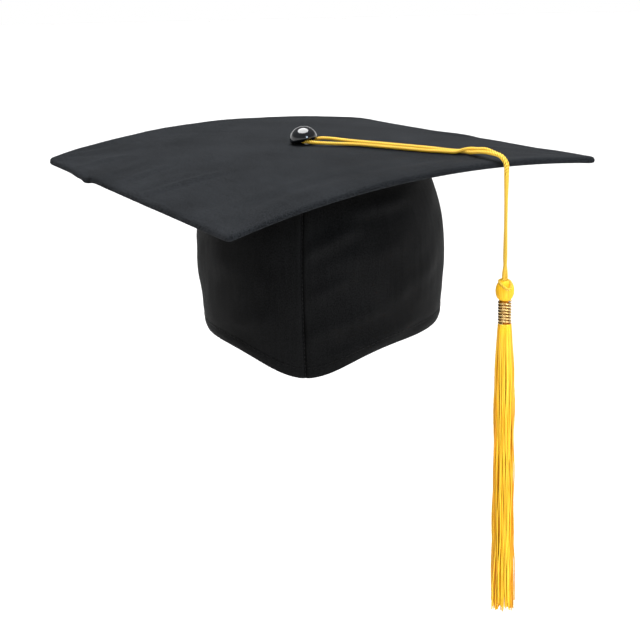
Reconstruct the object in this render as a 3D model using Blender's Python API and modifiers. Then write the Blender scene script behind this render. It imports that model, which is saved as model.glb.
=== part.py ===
"""A graduation cap (mortarboard): a cloth-covered square board on a soft crown, with a button and a tassel.

The origin is the middle of the head opening, +Z is up and the seam at the front of the crown faces -Y.
Lengths are in metres.
"""

import math

import bmesh
import bpy
from mathutils import Matrix, Vector

MM = 0.001
GAP = 0.3 * MM

# The square board. u runs along its edges from the front corner towards the right one, v towards the left one.
BOARD_SIDE = 240 * MM
BOARD_CORNER_R = 5 * MM
BOARD_TURN = math.radians(6.6)
BOARD_CENTRE = Vector((-7.9, 0.8, 105.8)) * MM
COVER_T = 0.8 * MM
CORE_T = 2.2 * MM
BOARD_T = 2 * COVER_T + CORE_T + 2 * GAP
# How far the board's surface leaves the level at its edges: its droop, its twist and its lean.
DROOP_U = -11.0 * MM
TWIST = -2.7 * MM
LEAN_U = 6.5 * MM
LEAN_V = 6.4 * MM
SWEEP_U = 1.1 * MM
BOARD_CELLS = 16

# The crown: half its width and half its length at the widest, and how much narrower it is above and below.
CROWN_HALF_W = 75.1 * MM
CROWN_HALF_L = 98.3 * MM
CROWN_TOP_K = 0.815
CROWN_HEM_K = 0.956
POINT_DEPTH = 15.1 * MM
POINT_SPREAD = 0.452
CLOTH_T = 1.0 * MM
STIFFENER_T = 0.8 * MM
LINING_T = 0.6 * MM
SWEATBAND_T = 1.2 * MM
SWEATBAND_H = 30 * MM
ELASTIC_T = 1.0 * MM
ELASTIC_H = 20 * MM
TAPE_T = 0.6 * MM
TAPE_H = 8 * MM
CROWN_STEPS = 56
CROWN_ROWS = 12

# The button and the rivet that holds it.
BUTTON_R = 9.0 * MM
BUTTON_H = 8.6 * MM
SHANK_R = 1.5 * MM
WASHER_R = 7.0 * MM
WASHER_T = 1.0 * MM

# The tassel's cord: a doubled strand lies on the board, and the pair hangs over the edge.
STRAND_R = 1.0 * MM
PAIR_R = 1.4 * MM
EDGE_ALONG_U = 50.6 * MM
BEND_R = 3.0 * MM
EDGE_CLEARANCE = 1.1 * MM
BEND_PIECE_L = 6 * MM
DROP_END = 69.0 * MM

# The tassel.
HEAD_R = 5.1 * MM
HEAD_H = 10.4 * MM
NECK_R = 1.9 * MM
FERRULE_R = 3.85 * MM
WIRE_R = 0.8 * MM
WIRE_PITCH = 1.82 * MM
WIRE_TURNS = 7.2
SKIRT_L = 170 * MM
SKIRT_TOP_R = 4.2 * MM
SKIRT_HEM_R = 6.75 * MM


def clear_scene():
    """Empties the scene."""
    for old in list(bpy.data.objects):
        bpy.data.objects.remove(old, do_unlink=True)
    for old in list(bpy.data.collections):
        bpy.data.collections.remove(old)


def new_collection(name, hidden=False):
    """A collection in the scene, hidden from the finished object if it holds cutters."""
    made = bpy.data.collections.new(name)
    made.hide_render = hidden
    bpy.context.scene.collection.children.link(made)
    return made


def material(name, colour, roughness, metallic=0.0):
    """A plain material of one colour."""
    made = bpy.data.materials.new(name)
    made.use_nodes = True
    shader = made.node_tree.nodes["Principled BSDF"]
    shader.inputs["Base Color"].default_value = (*colour, 1)
    shader.inputs["Roughness"].default_value = roughness
    shader.inputs["Metallic"].default_value = metallic
    return made


clear_scene()
CAP = new_collection("graduation_cap")
CUTTERS = new_collection("cutters", hidden=True)

TOP_CLOTH = material("top_cloth", (0.045, 0.045, 0.052), 0.85)
CROWN_CLOTH = material("crown_cloth", (0.012, 0.012, 0.014), 0.9)
LINING_CLOTH = material("lining_cloth", (0.02, 0.02, 0.022), 0.8)
CARD = material("card", (0.35, 0.30, 0.24), 0.8)
BAND = material("band", (0.03, 0.03, 0.03), 0.7)
BLACK_GLOSS = material("black_gloss", (0.01, 0.01, 0.012), 0.15)
STEEL = material("steel", (0.6, 0.6, 0.6), 0.35, 1.0)
GOLD_CORD = material("gold_cord", (0.80, 0.50, 0.08), 0.5)
BRASS = material("brass", (0.80, 0.58, 0.25), 0.3, 1.0)
GOLD_THREAD = material("gold_thread", (0.90, 0.55, 0.06), 0.55)


def add_object(name, data, mat, where=(0, 0, 0)):
    """Puts a mesh or curve into the cap as a named sub-part."""
    obj = bpy.data.objects.new(name, data)
    obj.location = where
    data.materials.append(mat)
    CAP.objects.link(obj)
    return obj


def mesh_from(bm, name, smooth=True):
    """Turns a bmesh into a mesh."""
    mesh = bpy.data.meshes.new(name)
    bm.to_mesh(mesh)
    bm.free()
    for face in mesh.polygons:
        face.use_smooth = smooth
    return mesh


# ---------------------------------------------------------------- the board's shape

HALF = BOARD_SIDE / 2
TO_FRONT = Vector((-math.sin(BOARD_TURN), -math.cos(BOARD_TURN), 0))
TO_RIGHT = Vector((math.cos(BOARD_TURN), -math.sin(BOARD_TURN), 0))
ALONG_U = (TO_RIGHT - TO_FRONT).normalized()
ALONG_V = (-TO_RIGHT - TO_FRONT).normalized()


def board_height(u, v):
    """Height of the board's upper surface above its middle."""
    p = u / HALF
    q = v / HALF
    return DROOP_U * p * p + TWIST * p * q + LEAN_U * p + LEAN_V * q + SWEEP_U * p**3


def board_point(u, v, w):
    """A point of the board, w above its upper surface."""
    flat = BOARD_CENTRE + u * ALONG_U + v * ALONG_V
    return flat + Vector((0, 0, board_height(u, v) + w))


def board_uv(x, y):
    """The board's own u and v over a point of the ground plan."""
    away = Vector((x, y, 0)) - Vector((BOARD_CENTRE.x, BOARD_CENTRE.y, 0))
    return away.dot(ALONG_U), away.dot(ALONG_V)


def board_layer(name, half, corner, top, thick, mat, lip=0.0):
    """One layer of the board, with rounded corners. A lip turns its edge down."""
    bm = bmesh.new()
    bmesh.ops.create_grid(bm, x_segments=BOARD_CELLS, y_segments=BOARD_CELLS, size=half)
    corners = [v for v in bm.verts if abs(v.co.x) > half * 0.999 and abs(v.co.y) > half * 0.999]
    bmesh.ops.bevel(bm, geom=corners, offset=corner, segments=4, profile=0.5, affect="VERTICES")
    if lip:
        rim = [e for e in bm.edges if e.is_boundary]
        turned = bmesh.ops.extrude_edge_only(bm, edges=rim)["geom"]
        low = [v for v in turned if isinstance(v, bmesh.types.BMVert)]
        bmesh.ops.translate(bm, verts=low, vec=(0, 0, -lip))
    bmesh.ops.recalc_face_normals(bm, faces=bm.faces)
    if max(bm.faces, key=lambda f: f.calc_area()).normal.z < 0:
        bmesh.ops.reverse_faces(bm, faces=bm.faces)
    for vert in bm.verts:
        vert.co = board_point(vert.co.x, vert.co.y, top + vert.co.z)
    obj = add_object(name, mesh_from(bm, name, smooth=False), mat)
    wall = obj.modifiers.new("thickness", "SOLIDIFY")
    wall.thickness = thick
    wall.offset = -1
    wall.use_even_offset = True
    return obj


def cut(obj, cutter):
    """Cuts one shape out of another."""
    hole = obj.modifiers.new("hole", "BOOLEAN")
    hole.operation = "DIFFERENCE"
    hole.solver = "EXACT"
    hole.object = cutter


def shank_cutter():
    """The round hole that the rivet goes through."""
    bm = bmesh.new()
    place = Matrix.Translation(BOARD_CENTRE)
    bmesh.ops.create_cone(
        bm,
        cap_ends=True,
        segments=20,
        radius1=SHANK_R + GAP,
        radius2=SHANK_R + GAP,
        depth=30 * MM,
        matrix=place,
    )
    obj = bpy.data.objects.new("shank_hole", mesh_from(bm, "shank_hole"))
    obj.display_type = "WIRE"
    obj.hide_render = True
    CUTTERS.objects.link(obj)
    return obj


SHANK_HOLE = shank_cutter()
CORE_HALF = HALF - COVER_T - GAP
CORE_TOP = -(COVER_T + GAP)
UNDER_TOP = CORE_TOP - CORE_T - GAP

cut(
    board_layer("board_top_cover", HALF, BOARD_CORNER_R, 0, COVER_T, TOP_CLOTH, lip=BOARD_T),
    SHANK_HOLE,
)
cut(
    board_layer("board_core", CORE_HALF, BOARD_CORNER_R - COVER_T, CORE_TOP, CORE_T, CARD),
    SHANK_HOLE,
)
cut(
    board_layer(
        "board_under_cover", CORE_HALF, BOARD_CORNER_R - COVER_T, UNDER_TOP, COVER_T, TOP_CLOTH
    ),
    SHANK_HOLE,
)


# ---------------------------------------------------------------- the crown


def hem_height(angle):
    """Height of the crown's lower edge. It dips to a soft point at the front."""
    turned = math.remainder(angle, 2 * math.pi)
    return -POINT_DEPTH * math.exp(-((turned / POINT_SPREAD) ** 2))


def crown_plan(angle, fall, inset):
    """Ground plan of the crown at a fall of 0 under the board to 1 at the hem."""
    if fall < 0.5:
        k = CROWN_TOP_K + (1 - CROWN_TOP_K) * math.sin(fall * math.pi)
    else:
        k = 1 - (1 - CROWN_HEM_K) * ((fall - 0.5) / 0.5) ** 2
    x = (CROWN_HALF_W * k - inset) * math.sin(angle)
    y = -(CROWN_HALF_L * k - inset) * math.cos(angle)
    return x, y


def above_hem(distance):
    """An edge that follows the hem."""
    return lambda roof, hem: hem + distance


def below_board(distance):
    """An edge that follows the underside of the board."""
    return lambda roof, hem: roof - distance


def crown_point(angle, rise, inset, low, high):
    """A point of a crown layer, rise 0 at its lower edge to 1 at its upper one."""
    x, y = crown_plan(angle, 0, 0)
    roof = BOARD_CENTRE.z + board_height(*board_uv(x, y)) - BOARD_T - GAP
    hem = hem_height(angle)
    bottom = low(roof, hem)
    z = bottom + (high(roof, hem) - bottom) * rise
    x, y = crown_plan(angle, (roof - z) / (roof - hem), inset)
    return Vector((x, y, z))


def crown_layer(name, start, end, inset, thick, low, high, mat, rows=CROWN_ROWS):
    """A curved wall of cloth between two angles."""
    whole = end - start > math.radians(359.9)
    steps = max(3, round(CROWN_STEPS * (end - start) / (2 * math.pi)))
    bm = bmesh.new()
    bmesh.ops.create_grid(bm, x_segments=steps, y_segments=rows, size=1)
    for vert in bm.verts:
        angle = start + (end - start) * (vert.co.x + 1) / 2
        vert.co = crown_point(angle, (vert.co.y + 1) / 2, inset, low, high)
    if whole:
        bmesh.ops.remove_doubles(bm, verts=bm.verts, dist=0.01 * MM)
    bm.normal_update()
    sample = bm.faces[:][0]
    centre = sample.calc_center_median()
    if sample.normal.dot(Vector((centre.x, centre.y, 0))) < 0:
        bmesh.ops.reverse_faces(bm, faces=bm.faces)
    obj = add_object(name, mesh_from(bm, name), mat)
    wall = obj.modifiers.new("thickness", "SOLIDIFY")
    wall.thickness = thick
    wall.offset = -1
    wall.use_even_offset = True
    return obj


TURN = 2 * math.pi
SEAM = 0.15 * MM / CROWN_HALF_W
DEG = math.pi / 180
STIFFENER_IN = CLOTH_T + GAP
LINING_IN = STIFFENER_IN + STIFFENER_T + GAP
INNER_IN = LINING_IN + LINING_T + GAP

HEM = above_hem(0)
ROOF = below_board(0)

crown_layer("crown_right", SEAM, math.pi - SEAM, 0, CLOTH_T, HEM, ROOF, CROWN_CLOTH)
crown_layer("crown_left", math.pi + SEAM, TURN - SEAM, 0, CLOTH_T, HEM, ROOF, CROWN_CLOTH)
crown_layer(
    "crown_stiffener",
    -140 * DEG,
    140 * DEG,
    STIFFENER_IN,
    STIFFENER_T,
    above_hem(6 * MM),
    below_board(2 * MM),
    CARD,
)
crown_layer(
    "crown_lining",
    0,
    TURN,
    LINING_IN,
    LINING_T,
    above_hem(2 * MM),
    below_board(1 * MM),
    LINING_CLOTH,
)
crown_layer(
    "sweatband",
    -120 * DEG,
    120 * DEG,
    INNER_IN,
    SWEATBAND_T,
    above_hem(3 * MM),
    above_hem(3 * MM + SWEATBAND_H),
    BAND,
    rows=4,
)
crown_layer(
    "back_elastic",
    128 * DEG,
    232 * DEG,
    INNER_IN,
    ELASTIC_T,
    above_hem(4 * MM),
    above_hem(4 * MM + ELASTIC_H),
    BAND,
    rows=3,
)
crown_layer(
    "front_seam_tape",
    -4.5 * DEG,
    4.5 * DEG,
    INNER_IN,
    TAPE_T,
    above_hem(3 * MM + SWEATBAND_H + 2 * GAP),
    below_board(TAPE_H + 2 * MM),
    BAND,
)
crown_layer(
    "top_seam_tape",
    0,
    TURN,
    INNER_IN,
    TAPE_T,
    below_board(TAPE_H + 1 * MM),
    below_board(1 * MM),
    BAND,
    rows=2,
)


# ---------------------------------------------------------------- turned pieces


def turned(name, profile, where, mat, steps=24):
    """A round piece turned about the vertical through where. The profile runs top to bottom."""
    bm = bmesh.new()
    points = [bm.verts.new((r, 0, z)) for r, z in profile]
    for first, second in zip(points, points[1:]):
        bm.edges.new((first, second))
    obj = add_object(name, mesh_from(bm, name), mat, where)
    spin = obj.modifiers.new("turn", "SCREW")
    spin.axis = "Z"
    spin.angle = TURN
    spin.steps = steps
    spin.render_steps = steps
    spin.use_merge_vertices = True
    spin.merge_threshold = 0.005 * MM
    spin.use_smooth_shade = True
    return obj


def arc(radius, centre, start, end, count):
    """Points (r, z) on an arc about a centre on the axis. 0 is straight up, 90 level."""
    found = []
    for step in range(count + 1):
        angle = math.radians(start + (end - start) * step / count)
        r = radius * math.sin(angle)
        found.append((r if r > 1e-9 else 0.0, centre + radius * math.cos(angle)))
    return found


def rod(radius, top, bottom, ball=False):
    """Profile of a round rod, with a ball-shaped upper end if it turns there."""
    if ball:
        upper = arc(radius, top - radius, 0, 90, 5)
    else:
        upper = [(0, top), (radius, top)]
    return upper + [(radius, bottom), (0, bottom)]


# The button stands on two thicknesses of strand, so that the loop can turn beneath it.
BUTTON_BASE = 2 * STRAND_R + 2 * GAP
BUTTON_DOME = [
    (BUTTON_R * math.sin(a * DEG), BUTTON_BASE + 1.2 * MM + (BUTTON_H - 1.2 * MM) * math.cos(a * DEG))
    for a in range(0, 91, 10)
]
BUTTON_DOME[0] = (0, BUTTON_BASE + BUTTON_H)
turned(
    "button_dome",
    BUTTON_DOME + [(BUTTON_R * 0.985, BUTTON_BASE + 0.3 * MM), (BUTTON_R * 0.95, BUTTON_BASE), (0, BUTTON_BASE)],
    BOARD_CENTRE,
    BLACK_GLOSS,
    steps=32,
)
WASHER_TOP = -BOARD_T - 2 * GAP
turned(
    "button_shank",
    rod(SHANK_R, BUTTON_BASE - GAP, WASHER_TOP + GAP * 0.5),
    BOARD_CENTRE,
    STEEL,
)
turned(
    "button_washer",
    rod(WASHER_R, WASHER_TOP - GAP, WASHER_TOP - GAP - WASHER_T),
    BOARD_CENTRE,
    STEEL,
)


# ---------------------------------------------------------------- the tassel's cord

EDGE_S = math.hypot(EDGE_ALONG_U, HALF)
RAY_U = EDGE_ALONG_U / EDGE_S
RAY_V = -HALF / EDGE_S
ALONG = (RAY_U * ALONG_U + RAY_V * ALONG_V).normalized()
ACROSS = Vector((-ALONG.y, ALONG.x, 0))
LIE = STRAND_R + GAP
STRAND_APART = STRAND_R + GAP / 2
TURN_R = SHANK_R + GAP + STRAND_R
BEND_S = EDGE_S + EDGE_CLEARANCE
BEND_Z = board_height(EDGE_ALONG_U, -HALF) + LIE
HANG_S = BEND_S + BEND_R
HANG_Z = BEND_Z - BEND_R
HANG = BOARD_CENTRE + ALONG * HANG_S + Vector((0, 0, HANG_Z))


def lying_height(s):
    """Height of the strand's middle line where it lies on the board."""
    inside = min(s, EDGE_S)
    return board_height(RAY_U * inside, RAY_V * inside) + LIE


def side_of(s):
    """How far each strand is from the line between them. They part round the button's shank."""
    near = max(0.0, 1 - s / (16 * MM))
    return STRAND_APART + (TURN_R - STRAND_APART) * near * near * (3 - 2 * near)


def strand_half():
    """Points (along, across, up) from the hanging end to the start of the turn."""
    found = []
    for step in range(6):
        angle = step / 5 * math.pi / 2
        s = BEND_S + BEND_R * math.cos(angle)
        found.append((s, STRAND_APART, HANG_Z + BEND_R * math.sin(angle)))
    count = 26
    for step in range(1, count + 1):
        s = BEND_S * (1 - step / count)
        found.append((s, side_of(s), lying_height(s)))
    return found


def loop_points():
    """The whole loop: in over the edge, round the shank and out again."""
    inward = strand_half()
    turn = []
    for step in range(1, 8):
        angle = step / 8 * math.pi
        s = -TURN_R * math.sin(angle)
        turn.append((s, TURN_R * math.cos(angle), lying_height(0)))
    outward = [(s, -t, z) for s, t, z in reversed(inward)]
    return inward + turn + outward


def tube(name, points, radius, mat, where):
    """A round cord along a line of points, with closed ends."""
    curve = bpy.data.curves.new(name, "CURVE")
    curve.dimensions = "3D"
    curve.bevel_depth = radius
    curve.bevel_resolution = 2
    curve.use_fill_caps = True
    line = curve.splines.new("POLY")
    line.points.add(len(points) - 1)
    for place, point in zip(line.points, points):
        place.co = (*point, 1)
    line.use_smooth = True
    return add_object(name, curve, mat, where)


LOOP_LINE = [ALONG * s + ACROSS * t + Vector((0, 0, z)) for s, t, z in loop_points()]
tube("cord_loop", LOOP_LINE, STRAND_R, GOLD_CORD, BOARD_CENTRE)

# Below the bend everything hangs on one vertical. Each piece turns about the ball at its upper end.
EDGE_PIVOT = HANG - Vector((0, 0, GAP + PAIR_R))
turned("cord_bend", rod(PAIR_R, PAIR_R, -BEND_PIECE_L, ball=True), EDGE_PIVOT, GOLD_CORD)
SIDE_PIVOT = EDGE_PIVOT - Vector((0, 0, BEND_PIECE_L + GAP + PAIR_R))
DROP_BOTTOM = BOARD_CENTRE.z + BEND_Z - DROP_END
turned(
    "cord_drop",
    rod(PAIR_R, PAIR_R, DROP_BOTTOM - SIDE_PIVOT.z, ball=True),
    SIDE_PIVOT,
    GOLD_CORD,
)

# ---------------------------------------------------------------- the tassel

HEAD_PIVOT = Vector((HANG.x, HANG.y, DROP_BOTTOM - GAP - HEAD_R))
HEAD_LOW = HEAD_R - HEAD_H
turned(
    "tassel_head",
    arc(HEAD_R, 0, 0, 108, 9)
    + [(HEAD_R * 0.83, HEAD_LOW + 1.3 * MM), (HEAD_R * 0.66, HEAD_LOW), (0, HEAD_LOW)],
    HEAD_PIVOT,
    GOLD_THREAD,
)

COIL_TOP = HEAD_LOW - GAP - WIRE_R
COIL_LINE_R = FERRULE_R - WIRE_R


def coil_points():
    """The brass wire's middle line, wound evenly down the neck."""
    found = []
    count = round(WIRE_TURNS * 14)
    for step in range(count + 1):
        angle = step / count * WIRE_TURNS * TURN
        down = COIL_TOP - WIRE_PITCH * angle / TURN
        found.append(Vector((COIL_LINE_R * math.cos(angle), COIL_LINE_R * math.sin(angle), down)))
    return found


tube("tassel_ferrule", coil_points(), WIRE_R, BRASS, HEAD_PIVOT)

COIL_LOW = COIL_TOP - WIRE_PITCH * WIRE_TURNS - WIRE_R
SKIRT_TOP = COIL_LOW - GAP


def skirt_profile():
    """The neck inside the coil, then the skirt of threads that widens as it falls."""
    found = [(0, HEAD_LOW - GAP), (NECK_R, HEAD_LOW - GAP), (NECK_R, SKIRT_TOP)]
    found.append((SKIRT_TOP_R * 0.82, SKIRT_TOP))
    count = 14
    for step in range(count + 1):
        down = step / count
        swell = SKIRT_TOP_R + (5.4 * MM - SKIRT_TOP_R) * min(1, down / 0.14) ** 0.8
        r = swell + (SKIRT_HEM_R - 5.4 * MM) * down**1.3
        found.append((r, SKIRT_TOP - 0.8 * MM - (SKIRT_L - 0.8 * MM) * down))
    found.append((0, SKIRT_TOP - SKIRT_L))
    return found


turned("tassel_skirt", skirt_profile(), HEAD_PIVOT, GOLD_THREAD, steps=28)
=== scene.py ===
# %% [markdown]
# # A graduation cap
# A mortarboard has three parts that a maker thinks of separately: a square board covered in black
# cloth, a soft lined crown that holds it on the head, and a gold tassel on a doubled cord.
# The rigid frame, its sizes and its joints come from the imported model. Here each soft piece is made
# again as cloth, cord or thread, in the same place, and every surface gets its finish.

# %% Load the frame
import math
import random

import bmesh
import bpy
from mathutils import Matrix, Vector, noise


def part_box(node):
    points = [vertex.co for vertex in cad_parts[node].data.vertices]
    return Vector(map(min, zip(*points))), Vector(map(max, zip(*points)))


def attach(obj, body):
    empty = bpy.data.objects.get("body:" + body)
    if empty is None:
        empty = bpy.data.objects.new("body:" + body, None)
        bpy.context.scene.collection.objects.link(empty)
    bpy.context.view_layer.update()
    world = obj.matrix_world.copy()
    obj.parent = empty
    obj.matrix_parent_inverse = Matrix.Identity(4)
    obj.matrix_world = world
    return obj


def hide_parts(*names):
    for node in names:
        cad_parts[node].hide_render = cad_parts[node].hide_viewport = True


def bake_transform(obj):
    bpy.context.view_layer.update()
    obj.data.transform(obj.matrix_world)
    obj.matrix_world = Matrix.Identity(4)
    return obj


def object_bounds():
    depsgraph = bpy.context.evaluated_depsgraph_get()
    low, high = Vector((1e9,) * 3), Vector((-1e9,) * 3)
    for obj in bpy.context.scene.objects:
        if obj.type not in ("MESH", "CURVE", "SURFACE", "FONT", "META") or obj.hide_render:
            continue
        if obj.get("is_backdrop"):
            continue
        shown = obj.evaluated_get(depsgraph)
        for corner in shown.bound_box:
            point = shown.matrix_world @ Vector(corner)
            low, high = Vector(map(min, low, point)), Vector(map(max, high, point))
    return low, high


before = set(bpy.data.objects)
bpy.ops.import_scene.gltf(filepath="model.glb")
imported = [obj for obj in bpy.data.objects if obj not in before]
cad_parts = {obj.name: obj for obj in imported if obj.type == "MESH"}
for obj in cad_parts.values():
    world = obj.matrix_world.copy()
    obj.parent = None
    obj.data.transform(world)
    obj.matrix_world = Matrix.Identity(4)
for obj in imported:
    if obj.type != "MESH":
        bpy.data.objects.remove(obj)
CAD_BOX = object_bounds()
MM = 0.001
DEG = math.pi / 180
TURN = 2 * math.pi
random.seed(7)


def new_object(name, data):
    """An object made from its data and put in the scene."""
    obj = bpy.data.objects.new(name, data)
    bpy.context.scene.collection.objects.link(obj)
    return obj


# %% [markdown]
# ## The board's own directions
# The board is turned a little on the crown, it leans, and it droops at two edges. All of that was
# settled with the frame, so it is written once here as a height over the board's middle. u runs
# from the front corner to the right one and v from the front corner to the left one. A piece is
# then made flat in u and v, which is easy to think about, and bent into place at the end.

# %% The board's shape
BOARD_CENTRE = Vector((-7.9, 0.8, 105.8)) * MM
HALF = 120 * MM
BOARD_TURN = 6.6 * DEG
BOARD_T = 4.4 * MM
TO_FRONT = Vector((-math.sin(BOARD_TURN), -math.cos(BOARD_TURN), 0))
TO_RIGHT = Vector((math.cos(BOARD_TURN), -math.sin(BOARD_TURN), 0))
ALONG_U = (TO_RIGHT - TO_FRONT).normalized()
ALONG_V = (-TO_RIGHT - TO_FRONT).normalized()


def board_height(u, v):
    """Height of the board's upper surface above its middle: droop, twist and lean."""
    p = u / HALF
    q = v / HALF
    return (-11.0 * p * p - 2.7 * p * q + 6.5 * p + 6.4 * q + 1.1 * p**3) * MM


def board_place(u, v, w):
    """A point of the board, w above its upper surface."""
    return BOARD_CENTRE + u * ALONG_U + v * ALONG_V + Vector((0, 0, board_height(u, v) + w))


def board_uv(x, y):
    """The board's own u and v over a point of the ground plan."""
    away = Vector((x - BOARD_CENTRE.x, y - BOARD_CENTRE.y, 0))
    return away.dot(ALONG_U), away.dot(ALONG_V)


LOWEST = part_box("board_top_cover")[0]
print("front corner", [round(x, 4) for x in board_place(-HALF, -HALF, 0)], "frame's y", round(LOWEST.y, 4))

# %% [markdown]
# ## The camera
# The camera stands just above the board, a little to one side of the front seam. A long lens keeps
# the perspective gentle, and there is no depth of field, so every part of the cloth stays sharp.

# %% Camera
CAMERA_TURN = 7.09 * DEG
CAMERA_RISE = 6 * DEG
CAMERA_AWAY = 0.85
CAMERA_PITCH = 0.2308
CAMERA_YAW = 0.0066
CAMERA_ROLL = -0.0237
LENS = 78.26


def make_camera():
    """A camera at board height that looks a little down."""
    turn = Matrix.Rotation(CAMERA_TURN, 3, "Z")
    back = Vector((0, -math.cos(CAMERA_RISE), math.sin(CAMERA_RISE)))
    ahead = Vector((
        math.sin(CAMERA_YAW) * math.cos(CAMERA_PITCH),
        math.cos(CAMERA_YAW) * math.cos(CAMERA_PITCH),
        -math.sin(CAMERA_PITCH),
    ))
    right = ahead.cross(Vector((0, 0, 1))).normalized()
    up = right.cross(ahead)
    right, up = (
        right * math.cos(CAMERA_ROLL) + up * math.sin(CAMERA_ROLL),
        up * math.cos(CAMERA_ROLL) - right * math.sin(CAMERA_ROLL),
    )
    axes = [turn @ axis for axis in (right, up, -ahead)]
    camera = new_object("camera", bpy.data.cameras.new("camera"))
    place = BOARD_CENTRE + turn @ back * CAMERA_AWAY
    camera.matrix_world = Matrix([
        (axes[0][i], axes[1][i], axes[2][i], place[i]) for i in range(3)
    ] + [(0, 0, 0, 1)])
    camera.data.sensor_width = 36
    camera.data.lens = LENS
    camera.data.clip_start = 0.01
    bpy.context.scene.camera = camera
    return camera


CAMERA = make_camera()
print("camera at", [round(x, 3) for x in CAMERA.location], "lens", CAMERA.data.lens)

# %% [markdown]
# ## Helpers for making pieces
# Every piece ends the same way: a mesh becomes an object at the origin, takes its material, hides
# the imported nodes it stands for and is attached to the body it moves with. One helper does all of it,
# so that no piece is forgotten.

# %% Piece helpers
def finish_piece(name, mesh, material, body, stands_for=()):
    """Makes a finished mesh a piece of the cap."""
    obj = new_object(name, mesh)
    mesh.materials.clear()
    mesh.materials.append(material)
    if stands_for:
        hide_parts(*stands_for)
    if body:
        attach(obj, body)
    return obj


def mesh_of(bm, name, smooth=True):
    """A mesh from a bmesh, shaded smooth unless told otherwise."""
    mesh = bpy.data.meshes.new(name)
    for face in bm.faces:
        face.smooth = smooth
    bm.to_mesh(mesh)
    bm.free()
    return mesh


def give_thickness(obj, thickness):
    """A live Solidify modifier that grows inward, so that cloth has a real edge."""
    wall = obj.modifiers.new("thickness", "SOLIDIFY")
    wall.thickness = thickness
    wall.offset = -1
    wall.use_even_offset = True


def to_mesh(obj):
    """The evaluated mesh of an object, which is then removed."""
    graph = bpy.context.evaluated_depsgraph_get()
    mesh = bpy.data.meshes.new_from_object(obj.evaluated_get(graph))
    bpy.data.objects.remove(obj)
    return mesh


def bump(x, middle, width):
    """A smooth bump of height 1."""
    return math.exp(-(((x - middle) / width) ** 2))


def smooth_step(x, start, end):
    """0 before start, 1 after end, and smooth between."""
    t = max(0.0, min(1.0, (x - start) / (end - start)))
    return t * t * (3 - 2 * t)


def travelled_along(points):
    """The distance from the first point to each one."""
    travelled = [0.0]
    for first, second in zip(points, points[1:]):
        travelled.append(travelled[-1] + (second - first).length)
    return travelled


print("helpers ready")

# %% [markdown]
# ## Finishes
# Black cloth is hard to show: it has almost no colour, so what the eye reads is its weave, its
# sheen and the slight greying of its folds. The weave is two crossed bands on the piece's own UV
# map, laid out in metres, so a thread is the same size on every piece. A slow noise breaks up the
# tone, and a little sheen lights the cloth where it turns away.

# %% Node helpers
class Nodes:
    """The nodes of one material or world, with short ways to add to them."""

    def __init__(self, owner):
        owner.use_nodes = True
        self.owner = owner
        self.tree = owner.node_tree

    def add(self, kind, **inputs):
        """One node, its inputs set or linked by name."""
        node = self.tree.nodes.new("ShaderNode" + kind)
        self.feed(node, {name.replace("_", " "): value for name, value in inputs.items()})
        return node

    def feed(self, node, inputs):
        """Gives a node's inputs a value or a link."""
        for name, value in inputs.items():
            if isinstance(value, bpy.types.NodeSocket):
                self.tree.links.new(value, node.inputs[name])
            else:
                node.inputs[name].default_value = value

    def shade(self, inputs):
        """Feeds the Principled shader."""
        self.feed(self.tree.nodes["Principled BSDF"], inputs)

    def maths(self, operation, first, second):
        """One Math node on two numbers or sockets."""
        node = self.tree.nodes.new("ShaderNodeMath")
        node.operation = operation
        self.feed(node, {0: first, 1: second})
        return node.outputs[0]

    def place(self):
        """The piece's own coordinates, in metres."""
        return self.add("TexCoord").outputs["Object"]

    def noise(self, vector, scale, detail=3, stretch=None):
        """A noise texture, its coordinates stretched if asked."""
        if stretch:
            vector = self.add("Mapping", Scale=stretch, Vector=vector).outputs[0]
        return self.add("TexNoise", Scale=scale, Detail=detail, Vector=vector).outputs[0]

    def ramp(self, value, *stops):
        """A colour ramp: (position, colour) stops."""
        node = self.tree.nodes.new("ShaderNodeValToRGB")
        ramp = node.color_ramp
        while len(ramp.elements) < len(stops):
            ramp.elements.new(0.5)
        for element, (position, colour) in zip(ramp.elements, stops):
            element.position = position
            element.color = (*colour, 1)
        self.feed(node, {0: value})
        return node.outputs[0]

    def relief(self, height, strength, distance, below=None):
        """A Bump node, on top of another if given."""
        node = self.add("Bump", Strength=strength, Distance=distance, Height=height)
        if below is not None:
            self.feed(node, {"Normal": below})
        return node.outputs[0]


def new_material(name):
    """A material with a Principled shader, as its nodes."""
    return Nodes(bpy.data.materials.new(name))


def grey(value, blue=0.0):
    """A near-neutral colour with a touch of blue."""
    return (value, value * (1 + blue * 0.4), value * (1 + blue))


THREAD_PITCH = 0.55 * MM
WAVES_PER_METRE = 0.314


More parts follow.
